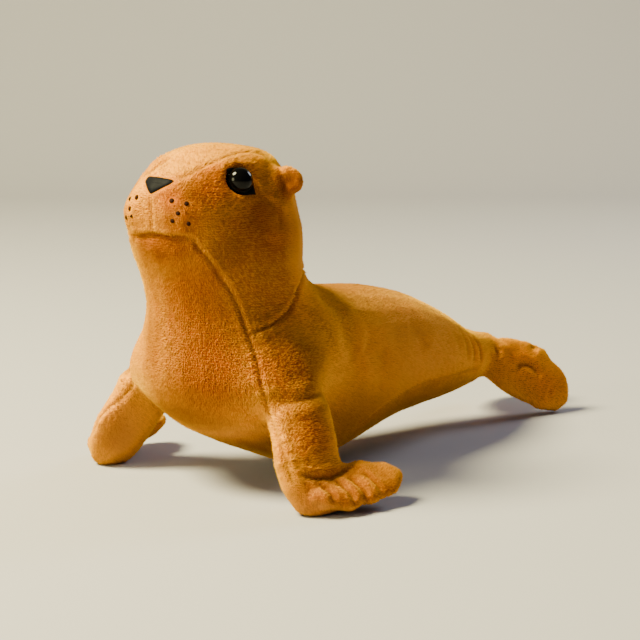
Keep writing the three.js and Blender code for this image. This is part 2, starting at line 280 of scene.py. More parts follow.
# Laid flat, the pile shows the dull sides of its fibres. This duller, bluer colour is also painted where
# the toy lies in shade, as the cool cast of its shade: on the trunk, the back of the neck, the belly and
# the fore flippers.
LAID_AND_SHADED = [
    Patch((165, 0, 70), (92, 70, 56), 0.8),
    Patch((78, -36, 146), (18, 26, 34), 0.7),
    Patch((60, 0, 30), (42, 40, 22), 0.6, ONE),
    Patch((30, 66, 20), (14, 14, 22), 0.5, ONE),
    Patch((36, -86, 8), (24, 16, 10), 0.4, ONE),
]
# Darker pile. On the cheek it is the nap, laid toward the eye and seen into. Elsewhere it is painted shade:
# under the muzzle and chin, down the throat and chest, under the arms, belly and flanks, at the toes'
# roots, in the ear's cup, by the brows and along the back.
DARK_NAP_AND_SHADE = [
    Patch((43, -42, 156), (15, 10, 12), 0.5, BOTH, "side", CRISP),
    Patch((0, 0, 141), (11, 28, 11), 0.85, ONE, "throat"),
    Patch((12, -4, 112), (26, 40, 44), 0.5, ONE, "throat"),
    Patch((18, -8, 68), (30, 36, 40), 0.6, ONE, "throat"),
    Patch((1, -17, 159), (12, 11, 14), 0.5),
    Patch((61, -40, 168), (4, 5, 6), 0.5),
    Patch((15, 15, 184), (9, 7, 4), 0.3, ONE),
    Patch((36, -42, 150), (18, 12, 16), 0.35, BOTH, "side"),
    Patch((6, -22, 143), (10, 13, 7), 0.5, BOTH, "throat"),
    Patch((15, -28, 130), (10, 12, 14), 0.5, BOTH, "throat"),
    Patch((25, -34, 112), (8, 9, 12), 0.35, BOTH, "throat"),
    Patch((44, -43, 134), (34, 14, 34), 0.4, BOTH, "side"),
    Patch((63, -42, 171), (9, 10, 12), 0.6),
    Patch((56.5, -23.5, 189), (5, 4, 4), 0.5),
    Patch((20, 0, 46), (22, 36, 16), 0.75, ONE),
    Patch((56, 0, 22), (34, 36, 18), 0.95, ONE),
    Patch((4, -24, 172), (9, 9, 8), 0.7, BOTH, "side"),
    Patch((10, 14, 86), (14, 14, 34), 0.7, ONE, "throat"),
    Patch((150, 0, 106), (76, 40, 20), 0.6, ONE),
    Patch((112, -44, 34), (40, 12, 16), 0.45, BOTH, "side"),
    Patch((74, -100, 16), (9, 8, 8), 0.3, ONE),
    Patch((26, 66, 22), (14, 12, 18), 0.35, ONE),
    Patch((53, -33, 180), (9, 7, 7), 0.3),
    Patch((20, -38, 137), (15, 11, 13), 0.55, BOTH, "side"),
    Patch((48, -92, 18.5), (20, 5, 5), 0.55),
    Patch((48, -70, 58), (13, 9, 7), 0.45),
    Patch((36, -64, 61), (9, 10, 4), 0.5),
    Patch((52, -60, 76), (18, 16, 16), 0.5),
    Patch((16, -26, 48), (8, 10, 9), 0.3),
    Patch((170, -30, 30), (100, 40, 22), 0.55, BOTH, "belly"),
    Patch((7.5, 10, 180), (4, 4, 2.5), 0.6, ONE),
]
# Where the pile is ruffled, its clumps stand apart and the painted shade between them is deeper. Below 0,
# it is stroked smooth and painted lighter, as painted light on the crown and the hind flipper.
RUFFLE_AND_SHADE = [
    Patch((30, 0, 188), (46, 26, 14), -1.2, ONE, "crown"),
    Patch((60, 0, 184), (20, 26, 12), -0.8, ONE),
    Patch((-3, 12, 164), (10, 13, 16), -1.2, ONE),
    Patch((-1, 0, 141), (8, 32, 9), -1.0, ONE, "throat"),
    Patch((47, -43, 155), (13, 10, 12), -1.0),
    Patch((66, -38, 142), (16, 14, 26), -0.8),
    Patch((6, 8, 96), (14, 22, 34), -0.8, ONE, "throat"),
    Patch((14, -16, 84), (22, 26, 50), -0.5, ONE, "throat"),
    Patch((150, -30, 70), (70, 40, 50), -0.7),
    Patch((312, -10, 34), (44, 34, 24), -1.2, ONE),
    Patch((0, -17, 160), (10, 10, 12), 0.4),
    Patch((40, -40, 128), (28, 14, 30), 0.5, BOTH, "side"),
    Patch((2, -24, 160), (12, 12, 14), 0.4, BOTH, "side"),
    Patch((48, -56, 78), (20, 16, 20), 0.6, BOTH, "side"),
    Patch((40, -74, 42), (18, 20, 22), 0.6, ONE),
    Patch((54, -92, 12), (36, 24, 18), 1.0, ONE),
    Patch((30, 76, 36), (26, 24, 44), -0.6, ONE),
    Patch((26, -60, 56), (7, 12, 24), -1.0),
    Patch((20, -84, 18), (7, 14, 18), -1.0, ONE),
]


# ---------------------------------------------------------------- skin, coat, face and stage
# How the solids become one skin. Lengths are in millimetres.
WELD = 0.01  # corners closer than this are one
BODY_SWELL, LIMB_SWELL = 0.22, 0.42  # nodes are swollen by this, to meet across the gaps between them
LOOK_FROM, LOOK_AS_FAR_AS = 0.02, 1.0  # how far off a face the look for another starts, and how far it goes
FIRST_INSET = 0.3  # the skin is first drawn in by this and the pile's depth
EASE_FIRST, EASE_FITS, EASE_LAST = 34, (14, 9, 5), 4  # rounds of easing
HOLLOWED = 0.3  # the share of a hollow that the skin follows
SKIN_CLEARS, ROOT_CLEARS, PILE_CLEARS = 0.35, 0.5, 0.02  # the lowest skin, tuft root and fibre

# The pile. Its coat is unwrapped in charts, each a flesh node or a part of one.
Roots = namedtuple("Roots", "at up marks owners room")
CHARTS = [*FLESH_NODES, "head_back", "chest_back", "trunk_back", "fore_paddle_left", "fore_paddle_right"]
SPLIT_NODES = ("trunk", "chest", "head")  # these have a second chart behind their middle
PADDLE_TOP = 25  # the paddle's chart is below this height, in millimetres
LAYERS = {
    "head": 5,
    "head_back": 4,
    "ear_left": 4,
    "ear_right": 4,
    "neck": 4,
    "fore_flipper_left": 6,
    "fore_flipper_right": 6,
    "fore_paddle_left": 6,
    "fore_paddle_right": 6,
}
COAT_PIECES = {
    "coat_face": ("head",),
    "coat_head": ("head_back", "ear_left", "ear_right"),
    "coat_neck": ("neck",),
    "coat_chest": ("chest",),
    "coat_withers": ("chest_back",),
    "coat_trunk_front": ("trunk",),
    "coat_trunk_back": ("trunk_back",),
    "coat_tail": ("tail", "hind_flipper_left", "hind_flipper_right"),
    "coat_fore_left": ("fore_flipper_left", "fore_paddle_left"),
    "coat_fore_right": ("fore_flipper_right", "fore_paddle_right"),
}
MOST_TUFTS = 49500  # four triangles each, which keeps a piece under 200,000
NAP_WAY = np.array([1.0, 0, -0.5])  # the pile is stroked toward the tail and down
STRAY = 0.3  # how far single tufts stray from the nap
STREWN = 0.7  # how far from the middle of its face a root may be strewn, as a share
ROOM, NO_ROOM = 2.0, 0.3  # pile is shorter this near a piece of the face and none this near, in millimetres
SHORTEST = 0.15  # the pile beside a piece of the face, as a share of its full depth
TUFT_ROOT = 0.25  # how deep a tuft is rooted in the skin, in millimetres
UNEVEN, LEANS, SHADES = (0.8, 1.2), (0.6, 1.4), (0.7, 1)  # how tufts differ in size, lean and shade
CLUMP = 1.15  # how far apart the clumps of fibre are, in millimetres
COARSE_CLUMPS, FINE_CLUMPS, CREST = (1, 1, 0.75), (2.1, 2.1, 1.6), 2.6  # how close and how narrow they are
CONTRAST, RUFFLED = 0.6, 0.42  # how dark the painted shade between the clumps is, plain and ruffled
CONTRAST_RANGE = (0.1, 0.95)  # the least and the most of it
TALLEST, DIP = 1.1, 0.7  # a clump's full height, and how far the pile dips between clumps
ROOT_SHADE = 0.7  # how much darker a tuft's root is painted than its tip, as shade deep in the pile
SEAM_AND_SHADE_SHORTENS, RUFFLE_LIFTS = 0.5, 0.6  # how much shorter the pile is where it is painted dark, and how much ruffling lifts it
SOFTENED = 0.65  # how far a tuft's shading turns to the cloth's
MAP_EDGE, MAP_PATCH = 0.01, 0.003  # the map's margin and the width of a tuft's patch, as shares of it
AXIS_SAMPLES = 4000  # roots that are enough to find a chart's long axis

# The face.
FACE_PIECES = ("eye_dome", "eye_backing", "stitched_nose", "stitched_spot")
EYE_SIDES = 72  # corners around the dome
EYE_GROWS = 1.16  # the dome covers nearly all of its backing
EYE_LOOKS = (-0.3, -0.85, 0.43)  # the way the left eye faces
SPOTS = 5  # on each side
# A patch of stitching: how high it stands and how wide its threads are in millimetres, how far it
# spreads as a share of its solid, and how many corners it has around and from middle to edge.
Stitch = namedtuple("Stitch", "height thread spread around rings")
NOSE_STITCH = Stitch(0.9, 0.55, 1.22, 220, 34)
BACKING_STITCH = Stitch(0.5, 0.5, 1.0, 160, 20)
SPOT_STITCH = Stitch(0.8, 0.45, 1.5, 32, 8)
THREAD_RIDGE = 0.09  # how far a thread's crown stands up, in millimetres
STITCH_TUCK, STITCH_DEPTH = 0.4, 0.9  # how deep its edge and its back go into the cloth, in millimetres

# The stage, in metres, watts and degrees. The camera's other numbers are in millimetres.
PAPER = {"reach": 6.0, "back": 1.6, "height": 3.2, "bend": 0.5, "steps": 12}
SKY, SKY_STRENGTH = 0xC8D6EC, 0.135
Lamp = namedtuple("Lamp", "name at size power colour")
LAMPS = [
    Lamp("key", (-1.05, 0.68, 1.62), 0.8, 205, 0xFFF6BC),
    Lamp("side", (-1.45, 0.4, 0.42), 0.6, 15, 0xFFF6BC),
    Lamp("rim", (1.72, -0.22, 1.1), 0.8, 20, 0xF0F6FF),
]
LAMPS_AIM = (-0.03, 0, 0.09)
CAMERA = {
    "azimuth": -47.01,
    "elevation": 9.46,
    "distance": 1100,
    "aim": (130.4, 0, 84.63),
    "lens": 103.18,
    "sensor": 36,
}


# ---------------------------------------------------------------- settings a user would change
def shares(colour):
    """The red, green and blue of an sRGB hex number, from 0 to 1."""
    return tuple(((colour >> shift) & 255) / 255 for shift in (16, 8, 0))


class PlushSettings(bpy.types.PropertyGroup):
    """The sizes and colours of the pile fabric"""

    voxel: FloatProperty(name="Skin detail", description="Size of the skin's faces",
                         default=1.38 * MM, unit="LENGTH")
    pile: FloatProperty(name="Pile depth", description="How far the pile stands off the skin",
                        default=1.5 * MM, unit="LENGTH")
    tuft: FloatProperty(name="Tuft width", description="How wide a clump of pile is at its root",
                        default=1.1 * MM, unit="LENGTH")
    lean: FloatProperty(name="Lean", description="How far a tuft leans along the nap",
                        default=0.9, min=0, max=3)
    layers: IntProperty(name="Tuft layers", description="Tufts for each face of the skin",
                        default=3, min=1, max=4)
    tip: FloatVectorProperty(name="Tip colour", description="sRGB colour of the pile's tips",
                             subtype="COLOR_GAMMA", default=shares(0xFCAA04), min=0, max=1)
    # The root colours, here and for the warm pile below, are painted shade: the pile is painted darker down
    # between its tufts.
    root: FloatVectorProperty(name="Root colour", description="sRGB colour between the tufts",
                              subtype="COLOR_GAMMA", default=shares(0xA05C18), min=0, max=1)
    warm_tip: FloatVectorProperty(name="Warm tip colour",
                                  description="sRGB colour of tips brushed against the nap",
                                  subtype="COLOR_GAMMA", default=shares(0xFA9400), min=0, max=1)
    warm_root: FloatVectorProperty(name="Warm root colour",
                                   description="sRGB colour between tufts brushed against the nap",
                                   subtype="COLOR_GAMMA", default=shares(0x984406), min=0, max=1)
    # This colour is partly painted shade: the cool cast of pile where the toy lies in shade.
    laid: FloatVectorProperty(name="Laid colour", description="sRGB colour of pile laid flat",
                              subtype="COLOR_GAMMA", default=shares(0xDE914C), min=0, max=1)
    # This colour paints the dark marks: shade in the seams' grooves, painted shade in patches, and dark
    # nap.
    crease_and_shade: FloatVectorProperty(name="Crease colour", description="sRGB colour deep in a seam",
                                subtype="COLOR_GAMMA", default=shares(0x622E08), min=0, max=1)


# ---------------------------------------------------------------- colours and material nodes
def linear(colour):
    """A linear RGBA colour from an sRGB hex number or an sRGB triple."""
    if isinstance(colour, int):
        colour = shares(colour)
    return [c / 12.92 if c <= 0.04045 else ((c + 0.055) / 1.055) ** 2.4 for c in colour] + [1.0]


def add_node(tree, kind, settings=(), values=(), links=()):
    """A node with its settings, socket values and incoming links."""
    made = tree.nodes.new(kind)
    for name, value in dict(settings).items():
        setattr(made, name, value)
    for name, value in dict(values).items():
        made.inputs[name].default_value = value
    for name, source in dict(links).items():
        tree.links.new(source, made.inputs[name])
    return made


def per_metre(pitch):
    """The scale of a noise whose marks are this many millimetres apart."""
    return 1 / (pitch * MM)


def new_material(name, display):
    made = bpy.data.materials.new(name)
    made.use_nodes = True
    made.node_tree.nodes.clear()
    made.diffuse_color = linear(display)
    return made, made.node_tree


def finish_material(tree, surface):
    add_node(tree, "ShaderNodeOutputMaterial", links={"Surface": surface.outputs[0]})


def plush_material(settings, name, tufts):
    """Polyester minky, knitted and brushed to a short upright pile. Its tips are soft and light,
    the ground between them is painted deep and warm as shade, and it glows where it turns away from the
    eye."""
    made, tree = new_material(name, settings.tip)
    where = add_node(tree, "ShaderNodeTexCoord").outputs["Object"]
    nap = add_node(tree, "ShaderNodeAttribute", {"attribute_name": "nap"}).outputs["Fac"]
    laid = add_node(tree, "ShaderNodeAttribute", {"attribute_name": "laid"}).outputs["Fac"]
    seam = add_node(tree, "ShaderNodeAttribute", {"attribute_name": "seam"}).outputs["Fac"]
    # The pile is stroked this way and that over stretches of 20 to 30 mm.
    strokes = add_node(tree, "ShaderNodeTexNoise", {},
                       {"Scale": per_metre(22.22), "Detail": 3.0, "Roughness": 0.55, "Distortion": 0.6},
                       {"Vector": where}).outputs["Fac"]
    stroked = add_node(tree, "ShaderNodeMapRange", {"clamp": True},
                       {"From Min": 0.44, "From Max": 0.68, "To Min": 0.0, "To Max": 0.3},
                       {"Value": strokes}).outputs["Result"]
    # The warm colour is nap, and on the snout's side it is also painted shade.
    warmth = add_node(tree, "ShaderNodeMath", {"operation": "ADD", "use_clamp": True}, {},
                      {0: nap, 1: stroked}).outputs[0]
    # Single fibres, of a few hundredths of a millimetre, are drawn 0.8 mm apart so that they show.
    fibres = add_node(tree, "ShaderNodeTexNoise", {},
                      {"Scale": per_metre(0.8), "Detail": 2.0, "Roughness": 0.6},
                      {"Vector": where}).outputs["Fac"]
    if tufts:
        # Each tuft's painted shade: darker at its root and where the clumps dip.
        height = add_node(tree, "ShaderNodeAttribute", {"attribute_name": "tuft"}).outputs["Fac"]
        spread = add_node(tree, "ShaderNodeMapRange", {"clamp": True},
                          {"From Min": 0.3, "From Max": 0.7, "To Min": -0.15, "To Max": 0.15},
                          {"Value": fibres}).outputs["Result"]
        share = add_node(tree, "ShaderNodeMath", {"operation": "ADD", "use_clamp": True}, {},
                         {0: height, 1: spread}).outputs[0]
    else:
        # The skin under the pile takes mostly the root colour, painted shade deep in the pile.
        share = add_node(tree, "ShaderNodeMapRange", {"clamp": True},
                         {"From Min": 0.3, "From Max": 0.7, "To Min": 0.0, "To Max": 0.35},
                         {"Value": fibres}).outputs["Result"]
    plain = add_node(tree, "ShaderNodeMix", {"data_type": "RGBA"},
                     {6: linear(settings.root), 7: linear(settings.tip)}, {"Factor": share}).outputs[2]
    warm = add_node(tree, "ShaderNodeMix", {"data_type": "RGBA"},
                    {6: linear(settings.warm_root), 7: linear(settings.warm_tip)},
                    {"Factor": share}).outputs[2]
    pile = add_node(tree, "ShaderNodeMix", {"data_type": "RGBA"}, {},
                    {"Factor": warmth, 6: plain, 7: warm}).outputs[2]
    # A duller, bluer colour, for laid nap and for the painted cool cast of shade.
    dulled_and_shaded = add_node(tree, "ShaderNodeMix", {"data_type": "RGBA"}, {7: linear(settings.laid)},
                      {"Factor": laid, 6: pile}).outputs[2]
    # The dark marks are painted shade in the seams' grooves and in patches, with dark nap.
    colour = add_node(tree, "ShaderNodeMix", {"data_type": "RGBA"}, {7: linear(settings.crease_and_shade)},
                      {"Factor": seam, 6: dulled_and_shaded}).outputs[2]
    surface = add_node(tree, "ShaderNodeBsdfPrincipled", {},
                       {"Roughness": 0.85, "IOR": 1.46, "Sheen Weight": 0.45, "Sheen Roughness": 0.4,
                        "Sheen Tint": linear(0xFFC400), "Specular IOR Level": 0.0},
                       {"Base Color": colour})
    if not tufts:
        bump = add_node(tree, "ShaderNodeBump", {}, {"Strength": 0.5, "Distance": 0.5 * MM},
                        {"Height": fibres})
        tree.links.new(bump.outputs["Normal"], surface.inputs["Normal"])
    finish_material(tree, surface)
    return made


def thread_material(name, dark, light, roughness=0.45):
    """Rayon embroidery thread laid side by side in satin stitch. It is nearly black, and the
    crowns of its threads gleam faintly."""
    made, tree = new_material(name, dark)
    where = add_node(tree, "ShaderNodeTexCoord").outputs["Object"]
    # Threads vary in gleam every 0.7 mm or so.
    gleam = add_node(tree, "ShaderNodeTexNoise", {}, {"Scale": per_metre(0.7143), "Detail": 2.0},
                     {"Vector": where}).outputs["Fac"]
    shade = add_node(tree, "ShaderNodeMix", {"data_type": "RGBA"},
                     {6: linear(dark), 7: linear(light)}, {"Factor": gleam}).outputs[2]
    bump = add_node(tree, "ShaderNodeBump", {}, {"Strength": 0.4, "Distance": 0.1 * MM},
                    {"Height": gleam})
    surface = add_node(tree, "ShaderNodeBsdfPrincipled", {},
                       {"Roughness": roughness, "IOR": 1.5, "Specular IOR Level": 0.06},
                       {"Base Color": shade, "Normal": bump.outputs["Normal"]})
    finish_material(tree, surface)
    return made


def eye_material():
    """Polished acrylic, moulded black. The dome is glass-smooth and gives a sharp highlight."""
    made, tree = new_material("black_acrylic", 0x0B0B0D)
    where = add_node(tree, "ShaderNodeTexCoord").outputs["Object"]
    # The moulding's black is faintly cloudy, every 6 mm or so.
    depth = add_node(tree, "ShaderNodeTexNoise", {}, {"Scale": per_metre(6.25), "Detail": 1.0},
                     {"Vector": where}).outputs["Fac"]
    colour = add_node(tree, "ShaderNodeMix", {"data_type": "RGBA"},
                      {6: linear(0x030303), 7: linear(0x080706)}, {"Factor": depth}).outputs[2]
    surface = add_node(tree, "ShaderNodeBsdfPrincipled", {},
                       {"Roughness": 0.06, "IOR": 1.49, "Specular IOR Level": 0.12},
                       {"Base Color": colour})
    finish_material(tree, surface)
    return made


def paper_material():
    """Seamless studio paper, calendered and unglazed. It is pale and matt, and gives no gleam."""
    made, tree = new_material("matt_paper", 0xA9A5AA)
    surface = add_node(tree, "ShaderNodeBsdfPrincipled", {},
                       {"Base Color": linear(0xA9A5AA), "Roughness": 0.9})
    finish_material(tree, surface)
    return made


# ---------------------------------------------------------------- mesh arrays
def node_arrays(name):
    """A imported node's corners, welded, with their normals, and its triangles."""
    mesh = bmesh.new()
    mesh.from_mesh(frame["nodes"][name].data)
    bmesh.ops.remove_doubles(mesh, verts=mesh.verts, dist=WELD * MM)
    bmesh.ops.triangulate(mesh, faces=mesh.faces)
    mesh.normal_update()
    points = np.array([v.co[:] for v in mesh.verts])
    normals = np.array([v.normal[:] for v in mesh.verts])
    faces = np.array([[v.index for v in f.verts] for f in mesh.faces])
    mesh.free()
    return points, normals, faces


def joined(names, grow=False):
    """Several nodes as one set of corners and triangles, and each triangle's node. The nodes may
    be swollen a little, so that they meet."""
    points, faces, owners, count = [], [], [], 0
    for name in names:
        at, normals, corners = node_arrays(name)
        swell = BODY_SWELL if name in BODY_NODES else LIMB_SWELL
        points.append(at + normals * (swell * MM if grow else 0))
        faces.append(corners + count)
        owners += [name] * len(corners)
        count += len(at)
    return np.concatenate(points), np.concatenate(faces), owners


def visible_faces(points, faces):
    """The faces that show from outside: a cut face or a face under a limb looks at another one
    less than a millimetre away."""
    tree = BVHTree.FromPolygons(points.tolist(), faces.tolist())
    corners = points[faces]
    middles = corners.mean(axis=1)
    normals = np.cross(corners[:, 1] - corners[:, 0], corners[:, 2] - corners[:, 0])
    normals /= np.maximum(np.linalg.norm(normals, axis=1, keepdims=True), 1e-18)
    shows = []
    for middle, normal in zip(middles, normals):
        start = Vector(middle + normal * LOOK_FROM * MM)
        shows.append(tree.ray_cast(start, Vector(normal), LOOK_AS_FAR_AS * MM)[0] is None)
    return faces[np.array(shows)]


def mesh_object(name, points, faces):
    """A smooth object in the scene."""
    mesh = bpy.data.meshes.new(name)
    mesh.from_pydata(np.asarray(points).tolist(), [], np.asarray(faces).tolist())
    mesh.update()
    mesh.shade_smooth()
    made = bpy.data.objects.new(name, mesh)
    bpy.context.scene.collection.objects.link(made)
    return made


def corners_of(mesh):
    points = np.empty(len(mesh.vertices) * 3)
    mesh.vertices.foreach_get("co", points)
    return points.reshape(-1, 3)


def normals_of(mesh):
    normals = np.empty(len(mesh.vertices) * 3, dtype=np.float32)
    mesh.vertex_normals.foreach_get("vector", normals)
    return normals.reshape(-1, 3).astype(float)


def set_corners(mesh, points):
    mesh.vertices.foreach_set("co", np.asarray(points, dtype=np.float32).ravel())
    mesh.update()


def read_values(mesh, name):
    values = np.empty(len(mesh.vertices), dtype=np.float32)
    mesh.attributes[name].data.foreach_get("value", values)
    return values.astype(float)


def write_values(mesh, name, values):
    layer = mesh.attributes.new(name, "FLOAT", "POINT")
    layer.data.foreach_set("value", np.asarray(values, dtype=np.float32))


def edges_of(mesh):
    edges = np.empty(len(mesh.edges) * 2, dtype=np.int64)
    mesh.edges.foreach_get("vertices", edges)
    return edges.reshape(-1, 2)


def tree_of(mesh):
    """A mesh's faces, ready for the nearest one to a place to be found."""
    faces = [list(face.vertices) for face in mesh.polygons]
    return BVHTree.FromPolygons(corners_of(mesh).tolist(), faces)


def averaged(values, edges, rounds, share=0.6):
    """Values eased toward their neighbours', a number of times."""
    count = len(values)
    values = np.array(values, dtype=float).reshape(count, -1)
    first, second = edges[:, 0], edges[:, 1]
    near = np.maximum(np.bincount(first, minlength=count) + np.bincount(second, minlength=count), 1)
    for _ in range(rounds):
        for column in range(values.shape[1]):
            one = values[:, column]
            total = np.bincount(first, one[second], count) + np.bincount(second, one[first], count)
            values[:, column] = one + share * (total / near - one)
    return values


# ---------------------------------------------------------------- carving
def curve_through(points, step=0.7 * MM):
    """A Catmull-Rom curve through the points, cut into even steps."""
    points = np.asarray(points)
    ends = np.vstack([2 * points[0] - points[1], points, 2 * points[-1] - points[-2]])
    made = []
    for a, b, c, d in zip(ends, ends[1:], ends[2:], ends[3:]):
        count = max(2, int(np.linalg.norm(c - b) / step))
        t = (np.arange(count) / count)[:, None]
        made.append(0.5 * (2 * b + (c - a) * t + (2 * a - 5 * b + 4 * c - d) * t**2
                           + (3 * b - a - 3 * c + d) * t**3))
    return np.vstack(made + [points[-1:]])


def all_lines():
    """Every seam and crease on both sides, as its curve and its numbers."""
    lines = []
    for line in [*SEAMS.values(), *CREASES.values()]:
        for side in ONE if line.get("single") else BOTH:
            lines.append((curve_through([place(p, side) for p in line["at"]]), line))
    for at in TOES["at"]:
        for side in BOTH:
            lines.append((curve_through([place(p, side) for p in at]), TOES))
    for at in HIND_CREASES["at"]:
        lines.append((curve_through([place(p) for p in at]), HIND_CREASES))
    return lines


def bell(away, width):
    """1 in the middle, and falling to nothing over about two widths to each side."""
    return np.exp(-((away / width) ** 2))


def measured_along(line, points):
    """How far each point is from a line, how far along the line its nearest place is, from 0 to
    1, and how high that place is."""
    tree = KDTree(len(line))
    for i, place_on_line in enumerate(line):
        tree.insert(place_on_line, i)
    tree.balance()
    found = [tree.find(point) for point in points]
    away = np.array([distance for _, _, distance in found])
    along = np.array([i for _, i, _ in found]) / max(1, len(line) - 1)
    height = np.array([spot[2] for spot, _, _ in found])
    return away, along, height


def seam_profile(points, tree, lines):
    """For each point, how far the seams move it out along its normal and how much shade they paint
    on it in their grooves."""
    push = np.zeros(len(points))
    dark = np.zeros(len(points))
    for line, numbers in lines:
        on_skin = np.array([tree.find_nearest(Vector(p))[0][:] for p in line])
        width = numbers["width"] * MM
        low, high = on_skin.min(0) - SEAM_REACH * width, on_skin.max(0) + SEAM_REACH * width
        close = np.where(((points > low) & (points < high)).all(axis=1))[0]
        if not len(close):
            continue
        away, along, height = measured_along(on_skin, points[close])
        length = np.linalg.norm(np.diff(on_skin, axis=0), axis=1).sum()
        fade = np.clip(np.minimum(along, 1 - along) * length / (FADE * MM), 0.1, 1)
        lips = numbers["lip"] * bell(away - LIP_AT * width, width)
        push[close] += fade * MM * (lips - numbers["depth"] * bell(away, width))
        gather = np.cos(2 * math.pi * along * round(length / MM / PUCKER_PITCH))
        beside = bell(away - GATHER_AT * width, 2 * width)
        push[close] += fade * MM * numbers.get("pucker", 0) * gather * beside
        if "overhang" in numbers:
            above = points[close][:, 2] > height
            roll = np.where(above, bell(away, 2 * width), -bell(away, 3 * width))
            beyond_middle = np.clip(away / (0.5 * width), 0, 1)
            push[close] += fade * MM * numbers["overhang"] * roll * beyond_middle
        # Painted shade: the pile is darkened down the middle of the groove.
        groove_shade = numbers["dark"] * bell(away, GROOVE_SHADE_WIDTH * width)
        dark[close] = np.maximum(dark[close], fade * groove_shade)
    return push, dark


def wandered(points):
    """The points moved about by up to a few millimetres, so that a patch has a wandering edge."""
    noise.seed_set(SEED)
    moved = [noise.noise_vector(Vector(p) / (WANDER_PITCH * MM))[:] for p in points]
    return points + np.array(moved) * WANDER * MM


def panels_at(points):
    """How far each point is on each panel of cloth, from 0 to 1. The seams are their edges."""
    x, y, z = ((points - place((0, 0, 0))) / MM).T
    y = np.abs(y)
    throat, crown, flank = (np.array(SEAMS[name]["at"]) for name in ("throat", "gusset", "flank"))
    throat = throat[np.argsort(throat[:, 2])]
    inside = np.interp(z, throat[:, 2], -throat[:, 1]) - y
    ahead = np.interp(z, throat[:, 2], throat[:, 0]) + THROAT_BACK - x
    over = np.interp(x, crown[:, 0], -crown[:, 1], left=0, right=0) - y
    above = z - np.interp(x, crown[:, 0], crown[:, 2]) + CROWN_DOWN
    under = np.interp(x, flank[:, 0], flank[:, 2], left=0, right=0) - z
    edge = {
        "throat": np.minimum.reduce([inside, ahead, throat[-1, 2] - z]),
        "crown": np.minimum(over, above),
        "belly": under,
    }
    panels = {name: np.clip(0.5 + away / PANEL_EDGE, 0, 1) for name, away in edge.items()}
    panels["side"] = 1 - np.maximum.reduce([*panels.values()])
    panels["any"] = np.ones(len(points))
    return panels


def patches_at(points, panels, patches):
    """How strongly a list of patches reaches each point: the strongest one that does. The panels
    have their own edges, and every other edge wanders."""
    strayed = wandered(points)
    strength = np.zeros(len(points))
    for patch in patches:
        for side in patch.sides:
            away = (strayed - place(patch.at, side)) / (np.array(patch.reach) * MM)
            away = np.linalg.norm(away, axis=1)
            here = patch.strength * np.exp(-(away**patch.edge)) * panels[patch.panel]
            strength = np.where(np.abs(here) > np.abs(strength), here, strength)
    return strength


def pile_share(points):
    """How deep the pile is at each point, as a share of its full depth: it is trimmed short
    on the muzzle, the ears and the flippers."""
    share = np.ones(len(points))
    for at, reach, less in SHORT_PILE:
        for side in BOTH:
            away = np.linalg.norm((points - place(at, side)) / (np.array(reach) * MM), axis=1)
            share = np.minimum(share, 1 - less * np.exp(-(away**4)))
    return share


def clump_at(points):
    """How tall the clumps of fibre stand at each point, from 0 to 1. They are short winding
    ridges, drawn with the crests of a noise and of a finer one."""
    spots = points * (1 / (CLUMP * MM))
    coarse = (spots * COARSE_CLUMPS).tolist()
    fine = (spots * FINE_CLUMPS + (9, 0, 0)).tolist()
    height = np.array([noise.noise(a) + 0.5 * noise.noise(b) for a, b in zip(coarse, fine)])
    return np.clip(1 - CREST * np.abs(height), 0, 1)


def layers_of(settings):
    """How many layers of tufts each chart has. The head and arms have more and finer ones."""
    return np.array([LAYERS.get(name, settings.layers) for name in CHARTS])


